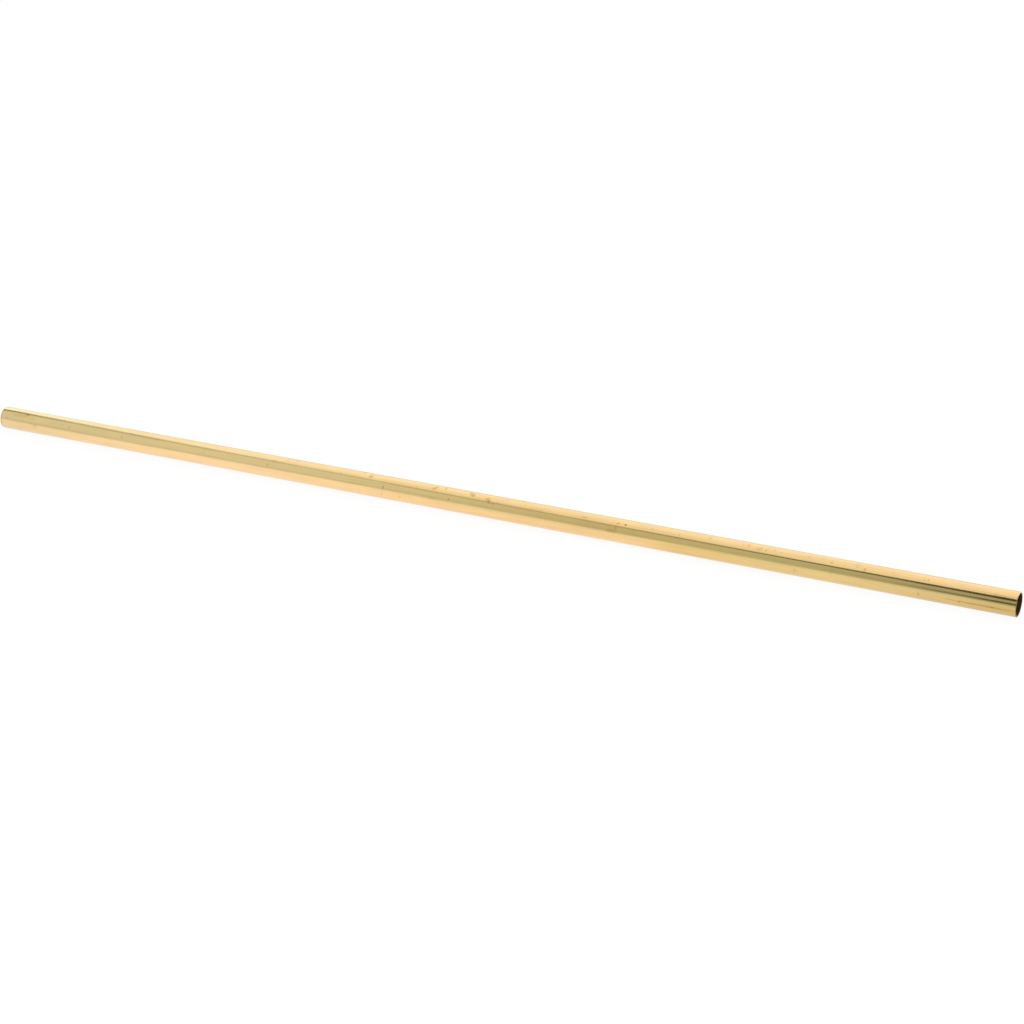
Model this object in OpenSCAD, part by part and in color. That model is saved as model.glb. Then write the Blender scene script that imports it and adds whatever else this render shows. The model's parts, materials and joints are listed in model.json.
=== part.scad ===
// Round brass tube: seamless drawn stock, cut square to length and deburred at both ends.
// It lies on a level surface along X, with the open end that faces the viewer towards +X.

/* [Tube] */
// Length between the two cut ends, 12 in, in mm
tube_length = 304.8; // [50:0.1:1000]
// Outside diameter, 1/4 in, in mm
outside_d = 6.35; // [4:0.05:50]
// Wall thickness, 0.014 in, in mm
wall = 0.356; // [0.3:0.001:1.5]

/* [Cut ends] */
// Radius worn onto the outer edge of each end by deburring, in mm
outer_edge_r = 0.08; // [0.02:0.01:0.15]
// Leg of the small bevel that the deburring blade leaves on the inner edge, in mm
inner_bevel = 0.06; // [0.02:0.01:0.12]

/* [Hidden] */
outside_r = outside_d / 2;
bore_r = outside_r - wall;
round_facets = 96;

// What the file takes off the outer corner of an end: the corner outside a quarter circle.
module outer_corner() {
    translate([outside_r - outer_edge_r, outer_edge_r])
        difference() {
            translate([0, -2 * outer_edge_r]) square(2 * outer_edge_r);
            circle(r = outer_edge_r, $fn = round_facets);
        }
}

// What the blade takes off the inner corner: a triangle that reaches past the wall on both sides.
module inner_corner() {
    blade = 3 * inner_bevel;
    translate([bore_r - inner_bevel, -inner_bevel])
        polygon([[0, 0], [blade, 0], [0, blade]]);
}

// Both corners of the cut end that lies on the section's baseline.
module deburring() {
    outer_corner();
    inner_corner();
}

// The wall cut lengthwise, distance from the axis along X and distance along the tube along Y.
module wall_section() {
    difference() {
        translate([bore_r, 0]) square([wall, tube_length]);
        deburring();
        translate([0, tube_length]) mirror([0, 1]) deburring();
    }
}

// The tube, turned about its axis and laid down so that its lowest line is at Z 0.
module tube() {
    color("#E8C27E")
        translate([-tube_length / 2, 0, outside_r])
            rotate([0, 90, 0])
                rotate_extrude($fn = round_facets) wall_section();
}

tube();
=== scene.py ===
"""A length of polished brass tube lying on a white table in soft studio light.

The tube is turned about its own axis from its wall section, at the sizes that the frame gives. All is in
metres, with the tube along X, its open near end at +X, and the table at Z 0.
"""
import json
import math

import bpy
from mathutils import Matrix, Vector


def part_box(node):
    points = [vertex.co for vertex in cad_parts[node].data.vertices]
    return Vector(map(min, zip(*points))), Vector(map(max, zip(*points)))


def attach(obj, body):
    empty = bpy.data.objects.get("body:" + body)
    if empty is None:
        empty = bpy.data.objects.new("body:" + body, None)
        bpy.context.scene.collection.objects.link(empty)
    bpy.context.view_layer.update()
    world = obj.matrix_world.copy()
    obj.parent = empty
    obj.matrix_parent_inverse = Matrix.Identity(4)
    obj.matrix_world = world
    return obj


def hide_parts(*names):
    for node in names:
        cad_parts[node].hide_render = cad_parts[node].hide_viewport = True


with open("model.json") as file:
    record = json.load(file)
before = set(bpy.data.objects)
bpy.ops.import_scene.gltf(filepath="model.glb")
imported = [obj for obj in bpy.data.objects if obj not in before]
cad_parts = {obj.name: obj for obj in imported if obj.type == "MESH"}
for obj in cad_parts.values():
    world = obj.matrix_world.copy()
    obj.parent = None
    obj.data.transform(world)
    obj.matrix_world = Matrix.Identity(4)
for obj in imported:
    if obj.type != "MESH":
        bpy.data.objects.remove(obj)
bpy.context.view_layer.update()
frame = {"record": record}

MM = 0.001

# Sizes of the tube, from the frame
MOUNTS = {mount["name"]: mount["dims"] for mount in frame["record"]["mounts"]}
TUBE_LOW, TUBE_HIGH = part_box("tube")
LENGTH = TUBE_HIGH.x - TUBE_LOW.x
OUTSIDE_R = MOUNTS["outside"]["r_mm"] * MM
BORE_R = MOUNTS["bore"]["r_mm"] * MM
EDGE_R = (LENGTH - MOUNTS["outside"]["length_mm"] * MM) / 2
BEVEL = (LENGTH - MOUNTS["bore"]["length_mm"] * MM) / 2
AXIS_Z = OUTSIDE_R

# How finely the tube is cut up
STEPS_AROUND = 144
STEP_ALONG = 6 * MM
EDGE_STEPS = 5
SAME_POINT = 0.002 * MM

# The photograph's camera
LENS_MM = 80
SENSOR_MM = 36
CAMERA_AIM = Vector((15.80, -0.86, 3.18)) * MM
CAMERA_DISTANCE = 606.1 * MM
CAMERA_AZIMUTH = math.radians(26.53)
CAMERA_ELEVATION = math.radians(21.80)
NEAREST_SEEN = 10 * MM

BLACK = (0.0, 0.0, 0.0)
WHITE = (1.0, 1.0, 1.0)


class Tree:
    """Adds nodes to a node tree. An input is given as a number, a colour or another node's output."""

    def __init__(self, tree):
        self.tree = tree

    def add(self, kind, inputs=None, **settings):
        node = self.tree.nodes.new(kind)
        for name, value in settings.items():
            setattr(node, name, value)
        for key, value in (inputs or {}).items():
            self.feed(node.inputs[key], value)
        return node

    def feed(self, socket, value):
        if isinstance(value, bpy.types.NodeSocket):
            self.tree.links.new(value, socket)
        else:
            socket.default_value = value

    def calc(self, operation, *values):
        return self.add("ShaderNodeMath", dict(enumerate(values)), operation=operation).outputs[0]

    def rise(self, value, start, end, low=0.0, high=1.0):
        """low up to start, high from end on, and a smooth rise or fall between them."""
        inputs = {"Value": value, "From Min": start, "From Max": end, "To Min": low, "To Max": high}
        return self.add("ShaderNodeMapRange", inputs, interpolation_type="SMOOTHSTEP").outputs["Result"]

    def ramp(self, value, stops):
        """A colour ramp. stops is a list of (position, (r, g, b))."""
        node = self.add("ShaderNodeValToRGB", {"Fac": value})
        elements = node.color_ramp.elements
        while len(elements) < len(stops):
            elements.new(0.5)
        for element, (position, colour) in zip(elements, stops):
            element.position = position
            element.color = (*colour, 1)
        return node.outputs["Color"]

    def blend(self, amount, first, second, kind="MIX"):
        """first where amount is 0, and second (or first multiplied by it, and so on) where amount is 1."""
        node = self.add("ShaderNodeMix", data_type="RGBA", blend_type=kind)
        for index, value in ((0, amount), (6, first), (7, second)):
            if isinstance(value, tuple):
                value = (*value, 1)
            self.feed(node.inputs[index], value)
        return node.outputs[2]

    def xyz(self, vector):
        return self.add("ShaderNodeSeparateXYZ", {0: vector}).outputs

    def object_place(self):
        """Where a point is in its object's own coordinates, which are the frame's."""
        return self.add("ShaderNodeTexCoord").outputs["Object"]


# In every function below that takes or makes one, t is the tree that is being built.


def new_material(name):
    material = bpy.data.materials.new(name)
    material.use_nodes = True
    material.node_tree.nodes.clear()
    return material, Tree(material.node_tree)


def new_object(name, data):
    thing = bpy.data.objects.new(name, data)
    bpy.context.scene.collection.objects.link(thing)
    return thing


def new_stage(name, points, faces, material):
    """A piece of the studio, which isn't part of the tube."""
    mesh = bpy.data.meshes.new(name)
    mesh.from_pydata(points, [], faces)
    mesh.materials.append(material)
    piece = new_object(name, mesh)
    return piece


# Light tent

TENT_RADIUS = 1.5
TENT_HALF_LENGTH = 2.2
TENT_STEPS = 48
TENT_END_DEPTH = 10 * MM

# A place on the tent is its height, in degrees round the tube's axis (0 in front, 90 overhead, 180
# behind), and its distance along from the middle, in tent radii.

# The front edge of the diffuser, which swings back overhead away from the middle
EDGE_HEIGHT = 60
EDGE_GREATEST_HEIGHT = 117
EDGE_LIFT_IN_MIDDLE = 3
SWING_START = 0.25
SWING_LENGTH = 0.6
EVEN_SWING = 24  # degrees over the swing's length
CUBED_SWING = 31  # the same, growing with the cube of the distance

# The dark gap low in the front card. It is level near the tent's middle and falls on a line beyond.
GAP_LEVEL_UP_TO = 0.115
GAP_LINE_HEIGHT = 32  # where the line would reach the tent's middle
GAP_LINE_FALL = -145  # degrees for each radius along
GAP_HALF_HEIGHT = 4
GAP_HALF_HEIGHT_SOFT = 8  # with its soft edge
GAP_DARKNESS = 0.88

DIFFUSER_COOL_TINT = (1.02, 1.18, 1.26)
DIFFUSER_LIP_TINT = (1.02, 1.05, 1.12)
CARD_UPPER_TINT = (1.035, 1.03, 1.03)
CARD_FOOT_TINT = (0.93, 0.92, 0.90)
TENT_END_COLOUR = (0.72, 0.77, 0.70)


def diffuser_edge(t, along):
    """How high the diffuser's front edge is."""
    swing = t.calc("MAXIMUM", t.calc("DIVIDE", t.calc("SUBTRACT", along, SWING_START), SWING_LENGTH), 0)
    curve = t.calc("MULTIPLY_ADD", t.calc("POWER", swing, 3), CUBED_SWING, EDGE_HEIGHT)
    height = t.calc("MINIMUM", t.calc("MULTIPLY_ADD", swing, EVEN_SWING, curve), EDGE_GREATEST_HEIGHT)
    return t.calc("ADD", height, t.rise(along, 0.10, 0.17, EDGE_LIFT_IN_MIDDLE, 0))


def diffuser_cloth(t, height, along, above_edge):
    """White overhead, greener low in front, dim low behind, and cooler towards the tent's ends. A cool lip
    runs along the front edge in the middle."""
    cloth = t.ramp(t.calc("DIVIDE", height, 180), [
        (0.33, (0.79, 0.82, 0.66)), (0.42, (0.85, 0.87, 0.74)), (0.56, (1.02, 0.97, 0.90)),
        (0.64, (1.04, 1.03, 1.03)), (0.73, (1.055, 1.075, 1.04)), (0.82, (1.06, 1.13, 1.10)),
        (0.92, (0.88, 0.95, 0.92)), (1.0, (0.60, 0.64, 0.62))])
    cool = t.calc("MULTIPLY", t.rise(along, 0.46, 0.80), t.rise(height, 140, 110))
    cool = t.calc("MAXIMUM", cool, t.rise(along, 0.75, 0.82))
    cloth = t.blend(cool, cloth, DIFFUSER_COOL_TINT, kind="MULTIPLY")
    lip = t.calc("MULTIPLY", t.rise(above_edge, 2, 4), t.rise(above_edge, 14, 9))
    lip = t.calc("MULTIPLY", lip, t.rise(along, 0.45, 0.35))
    return t.blend(lip, cloth, DIFFUSER_LIP_TINT, kind="MULTIPLY")


def front_card(t, height, along):
    """Grey-green, and darkest in the middle."""
    card = t.ramp(along, [
        (0.115, (0.36, 0.41, 0.31)), (0.146, (0.38, 0.43, 0.335)), (0.177, (0.425, 0.48, 0.37)),
        (0.25, (0.50, 0.57, 0.48)), (0.315, (0.54, 0.58, 0.44)), (0.383, (0.55, 0.575, 0.435)),
        (0.454, (0.615, 0.67, 0.56)), (0.53, (0.66, 0.74, 0.66)), (0.61, (0.72, 0.82, 0.78)),
        (0.85, (0.69, 0.775, 0.735))])
    card = t.blend(t.rise(height, 15, 42), card, CARD_UPPER_TINT, kind="MULTIPLY")
    foot = t.calc("MULTIPLY", t.rise(height, 24, 8), t.rise(along, 0.35, 0.45))
    return t.blend(foot, card, CARD_FOOT_TINT, kind="MULTIPLY")


def seam_darkness(t, along, above_edge):
    """The seam below the diffuser's front edge: widest and darkest in the middle, and faintest a little
    way off."""
    middle_part = t.rise(along, 0.10, 0.22, -21.5, -13)
    outer_part = t.rise(along, 0.60, 0.80, -13, -18)
    above_seam_foot = t.calc("SUBTRACT", above_edge, t.calc("MINIMUM", middle_part, outer_part))
    seam = t.calc("MULTIPLY", t.rise(above_seam_foot, 0, 3), t.rise(above_edge, 1, -1))
    depths = ((0.115, 0.88), (0.177, 0.80), (0.25, 0.62), (0.315, 0.42), (0.383, 0.20), (0.53, 0.24),
              (0.70, 0.33), (0.79, 0.43), (0.825, 0.55), (0.845, 0.78))
    return t.calc("MULTIPLY", seam, t.ramp(along, [(place, (depth,) * 3) for place, depth in depths]))


def gap_darkness(t, height, along):
    """The dark gap low in the front card, in the middle only."""
    line_place = t.calc("MAXIMUM", along, GAP_LEVEL_UP_TO)
    gap_height = t.calc("MULTIPLY_ADD", line_place, GAP_LINE_FALL, GAP_LINE_HEIGHT)
    off_gap = t.calc("ABSOLUTE", t.calc("SUBTRACT", height, gap_height))
    return t.calc("MULTIPLY", t.rise(off_gap, GAP_HALF_HEIGHT_SOFT, GAP_HALF_HEIGHT),
                  t.rise(along, 0.177, 0.133, 0.0, GAP_DARKNESS))


def tent_cloth():
    """What the brass mirrors of the studio: a white diffuser overhead with a dark seam along its front
    edge, a dimmer grey-green card in front of the table and at both ends, and a dark gap low in the card."""
    material, t = new_material("tent_cloth")
    x, y, z = t.xyz(t.object_place())
    height = t.calc("DEGREES", t.calc("ARCTAN2", z, t.calc("MULTIPLY", y, -1)))
    off_middle = t.calc("ABSOLUTE", x)
    along = t.calc("DIVIDE", off_middle, TENT_RADIUS)
    above_edge = t.calc("SUBTRACT", height, diffuser_edge(t, along))

    light = t.blend(t.rise(above_edge, -1, 2), front_card(t, height, along),
                    diffuser_cloth(t, height, along, above_edge))
    light = t.blend(seam_darkness(t, along, above_edge), light, BLACK)
    light = t.blend(gap_darkness(t, height, along), light, BLACK)
    at_end = t.calc("GREATER_THAN", off_middle, TENT_HALF_LENGTH - TENT_END_DEPTH)
    light = t.blend(at_end, light, TENT_END_COLOUR)
    emission = t.add("ShaderNodeEmission", {"Color": light})
    t.add("ShaderNodeOutputMaterial", {"Surface": emission.outputs[0]})
    material.cycles.emission_sampling = "NONE"
    return material


def make_tent():
    """A half-round tent with closed ends, well away from the tube, that only mirror reflections see."""
    ring = [math.pi * step / TENT_STEPS for step in range(TENT_STEPS + 1)]
    points = [(x, -TENT_RADIUS * math.cos(turn), TENT_RADIUS * math.sin(turn))
              for x in (-TENT_HALF_LENGTH, TENT_HALF_LENGTH) for turn in ring]
    count = len(ring)
    faces = [(step, step + 1, count + step + 1, count + step) for step in range(TENT_STEPS)]
    faces += [tuple(range(count)), tuple(range(count, 2 * count))]
    tent = new_stage("light_tent", points, faces, tent_cloth())
    tent.visible_camera = False
    tent.visible_diffuse = False
    tent.visible_shadow = False


# Table, room and camera

TABLE_SIDE = 6.0
TABLE_GREY = 0.10
TABLE_GLOW = (1.01, 1.01, 1.01)
LIGHT_POOL_STRETCH = 0.4  # how much of the table's length, about its middle, the painted light's tints are laid out on


def painted_table_light(t):
    """Painted light on the table, as the brass mirrors it: a painted pool of light. In front of the tube it
    is a little warmer and dimmer towards the tube's open end and away from the tube, and behind the tube it
    is plain white."""
    x, y, _ = t.xyz(t.object_place())
    place = t.calc("MULTIPLY_ADD", x, 1 / LIGHT_POOL_STRETCH, 0.5)
    colour = t.ramp(place, [
        (0.10, (0.90, 0.94, 0.98)), (0.22, (1.02, 1.02, 1.05)), (0.32, (1.05, 1.04, 1.08)),
        (0.46, (1.03, 0.99, 0.96)), (0.585, (0.98, 0.93, 0.88)), (0.62, (1.02, 0.985, 0.95)),
        (0.635, (0.99, 0.96, 0.91)), (0.655, (0.915, 0.885, 0.77)), (0.69, (0.93, 0.92, 0.84)),
        (0.75, (0.895, 0.92, 0.86)), (0.88, (0.73, 0.74, 0.62))])
    close = t.ramp(place, [
        (0.61, WHITE), (0.65, (0.98, 0.975, 0.93)), (0.76, (0.955, 0.965, 0.89)),
        (0.80, (1.0, 1.0, 0.99))])
    further = t.ramp(place, [
        (0.35, WHITE), (0.50, (0.93, 0.985, 0.96)), (0.73, (0.93, 0.975, 0.95)),
        (0.80, (0.98, 1.0, 1.0))])
    far = t.ramp(place, [(0.25, (0.80, 0.82, 0.76)), (0.45, (0.66, 0.75, 0.64))])
    # painted light: the pool's tints close to the tube, a little way off, and far from it, each dimming it
    # more
    ahead = t.calc("MULTIPLY", y, -1)
    for start_mm, end_mm, tint in ((1, 3, close), (4, 10, further), (5, 60, far)):
        colour = t.blend(t.rise(ahead, start_mm * MM, end_mm * MM), colour, tint, kind="MULTIPLY")
    return t.blend(t.rise(y, 0, 2 * MM), colour, WHITE)


def white_table():
    """White to the camera: it glows, and only its small grey part takes the tube's shadow. In mirror
    reflections its glow is a painted pool of light.
    """
    material, t = new_material("white_table")
    path = t.add("ShaderNodeLightPath").outputs
    glow = t.blend(path["Is Glossy Ray"], TABLE_GLOW, painted_table_light(t))
    glow = t.blend(1.0, glow, (TABLE_GREY,) * 3, kind="SUBTRACT")
    seen = t.calc("MAXIMUM", t.calc("MAXIMUM", path["Is Camera Ray"], path["Is Glossy Ray"]),
                  path["Is Transmission Ray"])
    emission = t.add("ShaderNodeEmission", {"Color": glow, "Strength": seen})
    diffuse = t.add("ShaderNodeBsdfDiffuse", {"Color": (TABLE_GREY,) * 3 + (1,)})
    both = t.add("ShaderNodeAddShader", {0: emission.outputs[0], 1: diffuse.outputs[0]})
    t.add("ShaderNodeOutputMaterial", {"Surface": both.outputs[0]})
    material.cycles.emission_sampling = "NONE"
    return material


def make_table():
    half = TABLE_SIDE / 2
    corners = [(-half, -half, 0), (half, -half, 0), (half, half, 0), (-half, half, 0)]
    new_stage("table_top", corners, [(0, 1, 2, 3)], white_table())


def make_world():
    """Plain white light all round."""
    world = bpy.data.worlds.new("white_room")
    bpy.context.scene.world = world
    world.use_nodes = True
    background = world.node_tree.nodes["Background"]
    background.inputs["Color"].default_value = (*WHITE, 1)
    background.inputs["Strength"].default_value = 1


def make_camera():
    data = bpy.data.cameras.new("camera")
    data.lens = LENS_MM
    data.sensor_width = SENSOR_MM
    data.clip_start = NEAREST_SEEN
    camera = new_object("camera", data)
    back = Vector((math.sin(CAMERA_AZIMUTH) * math.cos(CAMERA_ELEVATION),
                   -math.cos(CAMERA_AZIMUTH) * math.cos(CAMERA_ELEVATION),
                   math.sin(CAMERA_ELEVATION)))
    camera.location = CAMERA_AIM + back * CAMERA_DISTANCE
    camera.rotation_euler = (-back).to_track_quat("-Z", "Y").to_euler()
    bpy.context.scene.camera = camera


# Shader node groups


def new_group(name, inputs, outputs):
    """A shader node group with the named number, colour or direction inputs and outputs."""
    group = bpy.data.node_groups.new(name, "ShaderNodeTree")
    for names, way in ((inputs, "INPUT"), (outputs, "OUTPUT")):
        for label, kind in names.items():
            group.interface.new_socket(label, in_out=way, socket_type="NodeSocket" + kind)
    t = Tree(group)
    return group, t, t.add("NodeGroupInput").outputs


def grouped(t, group, inputs=None):
    """Places a group in a tree and gives its outputs."""
    return t.add("ShaderNodeGroup", inputs, node_tree=group).outputs


def surface_place_group():
    """Where a point of the tube is: millimetres along it, millimetres round it from the top towards the
    front, and how far round in degrees."""
    group, t, _ = new_group("surface_place", {}, {"Along": "Float", "Around": "Float", "Angle": "Float"})
    x, y, z = t.xyz(t.object_place())
    angle = t.calc("ARCTAN2", t.calc("MULTIPLY", y, -1), t.calc("SUBTRACT", z, AXIS_Z))
    t.add("NodeGroupOutput", {"Along": t.calc("DIVIDE", x, MM),
                              "Around": t.calc("MULTIPLY", angle, OUTSIDE_R / MM),
                              "Angle": t.calc("DEGREES", angle)})
    return group


def spot_group():
    """One soft-edged oval spot. The mask is Strength at its middle and 0 outside it."""
    inputs = ("Along", "Around", "Place along", "Place around", "Half length", "Half width", "Strength")
    group, t, given = new_group("spot", dict.fromkeys(inputs, "Float"), {"Mask": "Float"})
    along = t.calc("SUBTRACT", given["Along"], given["Place along"])
    along = t.calc("DIVIDE", along, given["Half length"])
    around = t.calc("SUBTRACT", given["Around"], given["Place around"])
    around = t.calc("DIVIDE", around, given["Half width"])
    square = t.calc("MULTIPLY_ADD", along, along, t.calc("MULTIPLY", around, around))
    t.add("NodeGroupOutput", {"Mask": t.rise(square, 1.9, 0.1, 0.0, given["Strength"])})
    return group


def lines_group():
    """Fine lines drawn along the tube by the die, the same from both sides and without a seam."""
    group, t, given = new_group(
        "drawn_lines", {"Fineness": "Float", "Stretch": "Float"}, {"Lines": "Float"})
    scale = t.add("ShaderNodeCombineXYZ", {
        "X": given["Stretch"], "Y": given["Fineness"], "Z": given["Fineness"]})
    drawn = t.add("ShaderNodeVectorMath", {0: t.object_place(), 1: scale.outputs[0]}, operation="MULTIPLY")
    noise = t.add("ShaderNodeTexNoise", {
        "Vector": drawn.outputs["Vector"], "Scale": 1.0, "Detail": 3.0, "Roughness": 0.6})
    t.add("NodeGroupOutput", {"Lines": noise.outputs["Fac"]})
    return group


def drawn_lines(t, groups, apart, length):
    """Lines about this far apart and this long."""
    return grouped(t, groups["lines"], {"Fineness": 1 / apart, "Stretch": 1 / length})["Lines"]


# Brass

BRASS = (0.97, 0.68, 0.34)
TARNISH_TINT = (0.58, 0.42, 0.02)
DIRT_TINT = (0.28, 0.20, 0.11)
HANDLED_TINT = (0.35, 0.36, 0.40)

# Cut ends: a painted highlight on top, and painted shade in front, behind and below
SAWN_TOP_HIGHLIGHT = (0.97, 0.70, 0.50)
SAWN_FRONT_SHADE = (0.42, 0.18, 0.08)
SAWN_BACK_SHADE = (0.10, 0.10, 0.055)
SAWN_UNDER_SHADE = (0.30, 0.18, 0.095)
SAWN_GRIME_TINT = (0.55, 0.45, 0.35)

# The bore's colours: painted shade, for the darkness inside the hollow
BORE_SHADE_DARK = (0.025, 0.013, 0.008)
BORE_SHADE_PALE = (0.055, 0.032, 0.018)

# Marks on the side that shows: millimetres from the middle towards the open end, degrees from the top
# towards the front, half the length and half the width in millimetres, and how strong the mark is
TARNISH = [
    (-152.0, 96, 0.30, 0.40, 0.30), (-150.1, 67, 0.30, 0.22, 0.32), (-145.5, 43, 3.20, 0.50, 0.18),
    (-144.1, 67, 0.30, 0.22, 0.22), (-143.2, 29, 0.70, 0.32, 0.80), (-141.2, 76, 0.50, 0.20, 0.25),
    (-141.0, 48, 1.40, 0.30, 0.14), (-139.8, 85, 0.80, 0.60, 0.22), (-127.5, 59, 0.45, 0.28, 0.27),
    (-108.9, 60, 0.35, 0.33, 0.31), (-106.4, 30, 0.35, 0.28, 0.36), (-80.9, 60, 0.35, 0.40, 0.18),
    (-59.5, 63, 0.45, 0.28, 0.29), (-57.8, 37, 0.62, 0.48, 0.22), (-55.2, 33, 0.50, 0.18, 0.14),
    (-53.8, 20, 0.25, 0.50, 0.20), (-51.0, 0, 0.50, 0.40, 0.34), (-39.9, 66, 0.35, 0.28, 0.15),
    (-36.4, 35, 0.30, 0.25, 0.22), (-29.7, -5, 0.70, 0.60, 0.36), (-27.1, 21, 0.62, 0.62, 0.50),
    (-23.8, 70, 0.25, 0.30, 0.18), (-22.9, 105, 0.20, 0.35, 0.36), (-22.6, 80, 0.15, 0.50, 0.28),
    (-22.5, 68, 0.35, 0.38, 0.42), (-17.3, 103, 0.40, 0.50, 0.19), (-14.5, 68, 0.22, 0.22, 0.28),
    (-12.5, 34, 0.35, 0.20, 0.22), (-7.5, 78, 1.40, 0.25, 0.13), (-7.4, 26, 0.60, 0.50, 0.48),
    (-6.8, 15, 0.50, 0.45, 0.46), (-4.1, 10, 0.35, 0.60, 0.50), (-2.2, 67, 0.28, 0.28, 0.62),
    (3.6, 13, 0.50, 0.42, 0.34), (4.2, 19, 0.70, 0.75, 0.34), (4.6, 26, 0.55, 0.36, 0.36),
    (6.2, 34, 1.30, 0.20, 0.18), (9.0, 31, 0.76, 0.60, 0.42), (9.6, 43, 0.55, 0.55, 0.36),
    (10.9, 50, 0.36, 0.28, 0.46), (12.0, 43, 0.62, 0.20, 0.26), (14.5, 15, 0.40, 0.33, 0.24),
    (18.8, -2, 0.40, 0.35, 0.28), (20.0, 25, 0.30, 0.30, 0.15), (23.5, 35, 2.50, 0.20, 0.15),
    (37.5, 33, 1.00, 0.24, 0.38), (45.3, 74, 1.00, 0.55, 0.22), (46.4, 76, 0.70, 0.60, 0.16),
    (46.8, 58, 0.38, 0.70, 0.28), (47.1, 33, 0.45, 0.22, 0.68), (51.9, 57, 0.30, 0.25, 0.20),
    (56.6, 28, 0.35, 0.30, 0.20), (72.5, 19, 0.45, 0.50, 0.27), (81.6, 22, 0.25, 0.45, 0.26),
    (83.1, 20, 0.50, 0.50, 0.31), (86.0, 32, 0.80, 0.50, 0.24), (86.6, 20, 0.30, 0.35, 0.30),
    (87.9, 33, 0.30, 0.25, 0.42), (88.1, 20, 0.25, 0.25, 0.24), (90.2, 22, 0.30, 0.30, 0.26),
    (92.0, 27, 0.25, 0.20, 0.26), (96.1, 103, 0.40, 0.60, 0.26), (99.1, 22, 0.30, 0.30, 0.32),
    (105.3, 32, 0.35, 0.35, 0.38), (105.6, 76, 0.35, 1.10, 0.10), (111.9, 22, 0.50, 0.70, 0.18),
    (114.0, 36, 0.35, 0.48, 0.44), (121.1, 26, 0.35, 0.35, 0.19), (128.2, 105, 0.35, 0.40, 0.34),
    (129.2, 34, 0.22, 0.33, 0.34), (130.2, 31, 0.30, 0.33, 0.44), (138.4, 107, 0.35, 0.35, 0.24),
    (142.5, 103, 8.50, 0.16, 0.55), (145.5, 40, 6.00, 0.12, 0.24), (146.6, 103, 0.35, 0.30, 0.24),
    (147.0, 42, 0.40, 0.25, 0.24), (148.0, 101, 7.00, 0.55, 0.14),
]
DARK_SPECKS = [
    (-143.2, 30, 0.70, 0.30, 0.30), (-22.5, 66, 0.18, 0.22, 0.20), (49.2, 33, 0.26, 0.26, 0.95),
    (64.3, 34, 0.12, 0.33, 0.32), (149.5, 42, 3.50, 0.22, 0.18),
]

# Specks on the hidden side: the size of the cells that hold one each, the share of the cells that is left
# empty, and the degrees from the top over which the specks set in, behind and below
HIDDEN_CELL = 5 * MM
HIDDEN_LEFT_OUT = 0.55
HIDDEN_BEHIND = (-30, -50)
HIDDEN_BELOW = (112, 122)


def add_spots(t, spots, spot, along, around):
    """All the spots of a list, added together into one mask."""
    total = None
    for place, degrees, half_length, half_width, strength in spots:
        mask = grouped(t, spot, {
            "Along": along, "Around": around, "Place along": place,
            "Place around": math.radians(degrees) * OUTSIDE_R / MM, "Half length": half_length,
            "Half width": half_width, "Strength": strength})["Mask"]
        total = mask if total is None else t.calc("ADD", total, mask)
    return t.calc("MINIMUM", total, 1.0)


def wandering(t, place):
    """The place along and around, wandering a little, which makes a spot's outline ragged."""
    noise = t.add("ShaderNodeTexNoise", {
        "Vector": t.object_place(), "Scale": 1 / (0.7 * MM), "Detail": 2.0})
    shift = t.xyz(noise.outputs["Color"])
    along = t.calc("MULTIPLY_ADD", t.calc("SUBTRACT", shift[0], 0.5), 0.5, place["Along"])
    around = t.calc("MULTIPLY_ADD", t.calc("SUBTRACT", shift[1], 0.5), 0.4, place["Around"])
    return along, around


def hidden_specks(t, place):
    """Specks of the same kind on the side turned away from the photograph."""
    cells = t.add("ShaderNodeTexVoronoi", {
        "Vector": t.object_place(), "Scale": 1 / HIDDEN_CELL, "Randomness": 1.0})
    pick = t.xyz(cells.outputs["Color"])[0]
    size = t.rise(pick, 0.5, 1.0, 0.02, 0.13)
    speck = t.rise(t.calc("DIVIDE", cells.outputs["Distance"], size), 1.0, 0.4, 0.0, 0.5)
    speck = t.calc("MULTIPLY", speck, t.calc("GREATER_THAN", pick, HIDDEN_LEFT_OUT))
    behind = t.rise(place["Angle"], *HIDDEN_BEHIND)
    below = t.rise(place["Angle"], *HIDDEN_BELOW)
    return t.calc("MULTIPLY", speck, t.calc("MAXIMUM", behind, below))


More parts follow.
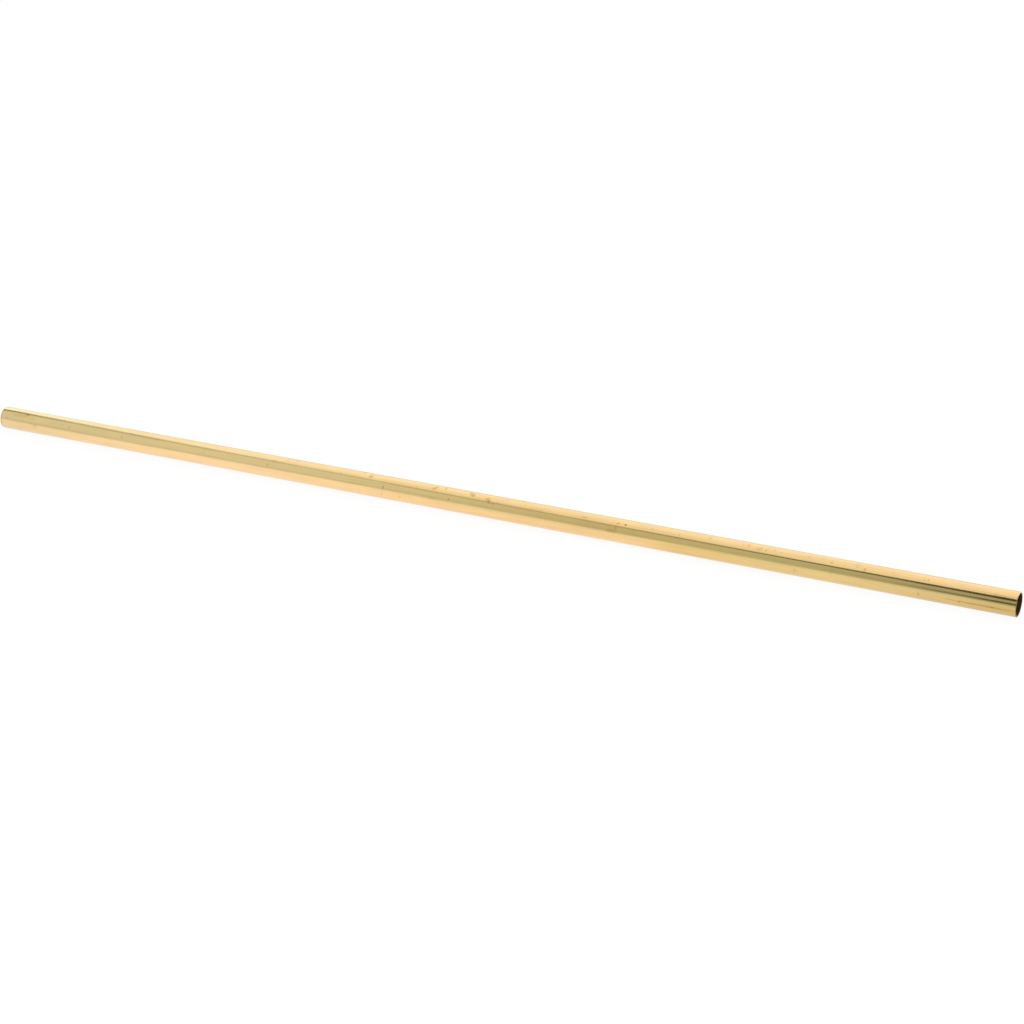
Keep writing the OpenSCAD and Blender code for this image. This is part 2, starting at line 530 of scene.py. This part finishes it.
def polished_brass(groups):
    """The outside: nearly a mirror, with fine drawn lines, tarnish and a few dark specks."""
    material, t = new_material("polished_brass")
    place = grouped(t, groups["place"])
    tarnish = add_spots(t, TARNISH, groups["spot"], *wandering(t, place))
    tarnish = t.calc("MAXIMUM", tarnish, hidden_specks(t, place))
    dirt = add_spots(t, DARK_SPECKS, groups["spot"], place["Along"], place["Around"])

    fine = drawn_lines(t, groups, apart=0.35 * MM, length=40 * MM)
    broad = drawn_lines(t, groups, apart=1.3 * MM, length=9 * MM)
    shade = t.calc("ADD", t.rise(fine, 0.3, 0.7, -0.04, 0.04), t.rise(broad, 0.3, 0.7, -0.03, 0.03))
    shade = t.calc("ADD", shade, 0.97)
    grey = t.add("ShaderNodeCombineXYZ", {"X": shade, "Y": shade, "Z": shade}).outputs[0]
    colour = t.blend(1.0, BRASS, grey, kind="MULTIPLY")
    colour = t.blend(tarnish, colour, TARNISH_TINT, kind="MULTIPLY")
    colour = t.blend(dirt, colour, DIRT_TINT, kind="MULTIPLY")

    # the far end's edge is dulled by handling
    far_end = -LENGTH / 2 / MM
    handled = t.calc("MULTIPLY", t.rise(place["Along"], far_end + 0.5, far_end + 0.1), 0.5)
    colour = t.blend(handled, colour, HANDLED_TINT, kind="MULTIPLY")

    roughness = t.calc("ADD", t.rise(broad, 0.3, 0.7, 0.11, 0.15), t.calc("MULTIPLY", tarnish, 0.15))
    bump = t.add("ShaderNodeBump", {"Strength": 1.0, "Distance": 0.0002 * MM, "Height": fine})
    shader = t.add("ShaderNodeBsdfPrincipled", {
        "Metallic": 1.0, "Roughness": roughness, "Base Color": colour, "Normal": bump.outputs["Normal"]})
    t.add("ShaderNodeOutputMaterial", {"Surface": shader.outputs[0]})
    return material


def sawn_brass(groups):
    """The cut ends: dull, with a painted highlight on top and painted shade round the front, back and
    underside, and with fine marks across.
    """
    material, t = new_material("sawn_brass")
    angle = grouped(t, groups["place"])["Angle"]
    noise = t.add("ShaderNodeTexNoise", {
        "Vector": t.object_place(), "Scale": 1 / (0.4 * MM), "Detail": 4.0})
    marks = noise.outputs["Fac"]
    # painted highlight and shade by the angle round the axis: bright on top, darker in front, behind and
    # below
    colour = t.blend(t.rise(angle, 10, 45), SAWN_TOP_HIGHLIGHT, SAWN_FRONT_SHADE)
    colour = t.blend(t.rise(angle, -15, -50), colour, SAWN_BACK_SHADE)
    colour = t.blend(t.rise(t.calc("ABSOLUTE", angle), 110, 178), colour, SAWN_UNDER_SHADE)
    colour = t.blend(t.rise(marks, 0.35, 0.7, 0.0, 0.35), colour, SAWN_GRIME_TINT, kind="MULTIPLY")
    bump = t.add("ShaderNodeBump", {"Strength": 0.5, "Distance": 0.01 * MM, "Height": marks})
    shader = t.add("ShaderNodeBsdfPrincipled", {
        "Metallic": 1.0, "Roughness": 0.3, "Base Color": colour, "Normal": bump.outputs["Normal"]})
    t.add("ShaderNodeOutputMaterial", {"Surface": shader.outputs[0]})
    return material


def bore_brass(groups):
    """The bore: never polished, and painted dark brown for the shade deep inside it."""
    material, t = new_material("bore_brass")
    drawn = drawn_lines(t, groups, apart=0.5 * MM, length=12 * MM)
    # painted shade, a little paler along the drawn lines
    colour = t.blend(t.rise(drawn, 0.3, 0.7), BORE_SHADE_DARK, BORE_SHADE_PALE)
    shader = t.add("ShaderNodeBsdfPrincipled", {"Metallic": 1.0, "Roughness": 0.45, "Base Color": colour})
    t.add("ShaderNodeOutputMaterial", {"Surface": shader.outputs[0]})
    return material


# Tube


def point_place(t):
    return t.add("GeometryNodeInputPosition").outputs[0]


def wall_middle(t, size):
    """The radius halfway through the wall."""
    return t.calc("MULTIPLY", t.calc("ADD", size["Outside radius"], size["Bore radius"]), 0.5)


def wall_section(t, size):
    """The wall cut lengthwise: X along the tube and Y out from the axis, with its corners worn round
    outside and bevelled inside, and cut up lengthwise where it is long."""
    wall = t.calc("SUBTRACT", size["Outside radius"], size["Bore radius"])
    middle = wall_middle(t, size)
    strip = t.add("GeometryNodeCurvePrimitiveQuadrilateral", {"Width": size["Length"], "Height": wall})
    strip = t.add("GeometryNodeSetPosition", {
        "Geometry": strip.outputs[0], "Offset": t.add("ShaderNodeCombineXYZ", {"Y": middle}).outputs[0]})
    outer = t.calc("GREATER_THAN", t.xyz(point_place(t))["Y"], middle)
    radius = t.add("GeometryNodeSwitch", {
        "Switch": outer, "False": size["Bevel"], "True": size["Edge radius"]}, input_type="FLOAT")
    count = t.add("GeometryNodeSwitch", {
        "Switch": outer, "False": 1, "True": size["Edge steps"]}, input_type="INT")
    worn = t.add("GeometryNodeFilletCurve", {
        "Curve": strip.outputs[0], "Count": count.outputs[0], "Radius": radius.outputs[0]}, mode="POLY")
    here = point_place(t)
    following = t.add("GeometryNodeOffsetPointInCurve", {"Offset": 1}).outputs["Point Index"]
    there = t.add("GeometryNodeFieldAtIndex", {"Index": following, "Value": here},
                  data_type="FLOAT_VECTOR", domain="POINT").outputs[0]
    distance = t.add("ShaderNodeVectorMath", {0: here, 1: there}, operation="DISTANCE").outputs["Value"]
    cuts = t.calc("FLOOR", t.calc("DIVIDE", distance, size["Step along"]))
    return t.add("GeometryNodeSubdivideCurve", {"Curve": worn.outputs[0], "Cuts": cuts}).outputs[0]


def turned_wall(t, size):
    """A sheet of squares, with a column for each point of the wall section and a row for each step round
    the axis, rolled up into the closed wall."""
    points = t.add("GeometryNodeCurveToPoints", {"Curve": wall_section(t, size)}, mode="EVALUATED")
    points = points.outputs["Points"]
    section_steps = t.add("GeometryNodeAttributeDomainSize", {0: points}, component="POINTCLOUD")
    section_steps = section_steps.outputs["Point Count"]
    columns = t.calc("ADD", section_steps, 1)
    rows = t.calc("ADD", size["Steps around"], 1)
    sheet = t.add("GeometryNodeMeshGrid", {
        "Size X": section_steps, "Size Y": size["Steps around"],
        "Vertices X": columns, "Vertices Y": rows})
    across, up, _ = t.xyz(point_place(t))
    column = t.calc("ROUND", t.calc("MULTIPLY_ADD", section_steps, 0.5, across))
    turn = t.calc("MULTIPLY", t.calc("DIVIDE", up, size["Steps around"]), 2 * math.pi)
    section_point = t.calc("FLOORED_MODULO", column, section_steps)
    section_place = t.add("GeometryNodeSampleIndex", {
        "Geometry": points, "Value": point_place(t), "Index": section_point},
        data_type="FLOAT_VECTOR", domain="POINT")
    along, out, _ = t.xyz(section_place.outputs[0])
    place = t.add("ShaderNodeCombineXYZ", {
        "X": along, "Y": t.calc("MULTIPLY", out, t.calc("SINE", turn)),
        "Z": t.calc("MULTIPLY_ADD", out, t.calc("COSINE", turn), size["Outside radius"])})
    rolled = t.add("GeometryNodeSetPosition", {
        "Geometry": sheet.outputs["Mesh"], "Position": place.outputs[0]})
    closed = t.add("GeometryNodeMergeByDistance", {"Geometry": rolled.outputs[0], "Distance": SAME_POINT})
    return t.add("GeometryNodeSetShadeSmooth", {"Geometry": closed.outputs[0]}).outputs[0]


def painted(t, size, wall):
    """The wall with its finishes: the outside's all over, then the bore's, then the cut ends'."""
    x, y, z = t.xyz(point_place(t))
    from_end = t.calc("SUBTRACT", t.calc("MULTIPLY", size["Length"], 0.5), t.calc("ABSOLUTE", x))
    at_end = t.calc("LESS_THAN", from_end, size["Edge radius"])
    above_axis = t.calc("SUBTRACT", z, size["Outside radius"])
    radius = t.calc("SQRT", t.calc("ADD", t.calc("POWER", y, 2), t.calc("POWER", above_axis, 2)))
    inside = t.calc("LESS_THAN", radius, wall_middle(t, size))
    wall = t.add("GeometryNodeRealizeInstances", {"Geometry": wall}).outputs[0]
    for finish, where in (("Outside", True), ("Bore", inside), ("Ends", at_end)):
        wall = t.add("GeometryNodeSetMaterial", {
            "Geometry": wall, "Selection": where, "Material": size[finish]}).outputs[0]
    return wall


def tube_tree():
    """Turns the wall section about the tube's axis, and gives the outside, the cut ends and the bore their
    finishes."""
    tree = bpy.data.node_groups.new("turned_tube", "GeometryNodeTree")
    inputs = {"Geometry": ("Geometry",),
              "Float": ("Length", "Outside radius", "Bore radius", "Edge radius", "Bevel", "Step along"),
              "Int": ("Steps around", "Edge steps"),
              "Material": ("Outside", "Ends", "Bore")}
    for kind, names in inputs.items():
        for name in names:
            tree.interface.new_socket(name, in_out="INPUT", socket_type="NodeSocket" + kind)
    tree.interface.new_socket("Geometry", in_out="OUTPUT", socket_type="NodeSocketGeometry")
    t = Tree(tree)
    size = t.add("NodeGroupInput").outputs
    t.add("NodeGroupOutput", {"Geometry": painted(t, size, turned_wall(t, size))})
    return tree


def make_tube():
    groups = {"place": surface_place_group(), "spot": spot_group(), "lines": lines_group()}
    holder = new_object("tube_rule", bpy.data.meshes.new("tube_rule"))
    rule = holder.modifiers.new("turned_tube", "NODES")
    rule.node_group = tube_tree()
    values = {"Length": LENGTH, "Outside radius": OUTSIDE_R, "Bore radius": BORE_R, "Edge radius": EDGE_R,
              "Bevel": BEVEL, "Step along": STEP_ALONG, "Steps around": STEPS_AROUND,
              "Edge steps": EDGE_STEPS, "Outside": polished_brass(groups), "Ends": sawn_brass(groups),
              "Bore": bore_brass(groups)}
    for item in rule.node_group.interface.items_tree:
        if item.in_out == "INPUT" and item.name in values:
            rule[item.identifier] = values[item.name]
    evaluated = holder.evaluated_get(bpy.context.evaluated_depsgraph_get())
    mesh = bpy.data.meshes.new_from_object(evaluated)
    bpy.data.objects.remove(holder)
    mesh.name = "brass_tube"
    tube = new_object("brass_tube", mesh)
    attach(tube, "root")
    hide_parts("tube")


bpy.context.scene.view_settings.view_transform = "Standard"
make_camera()
make_world()
make_tent()
make_table()
make_tube()
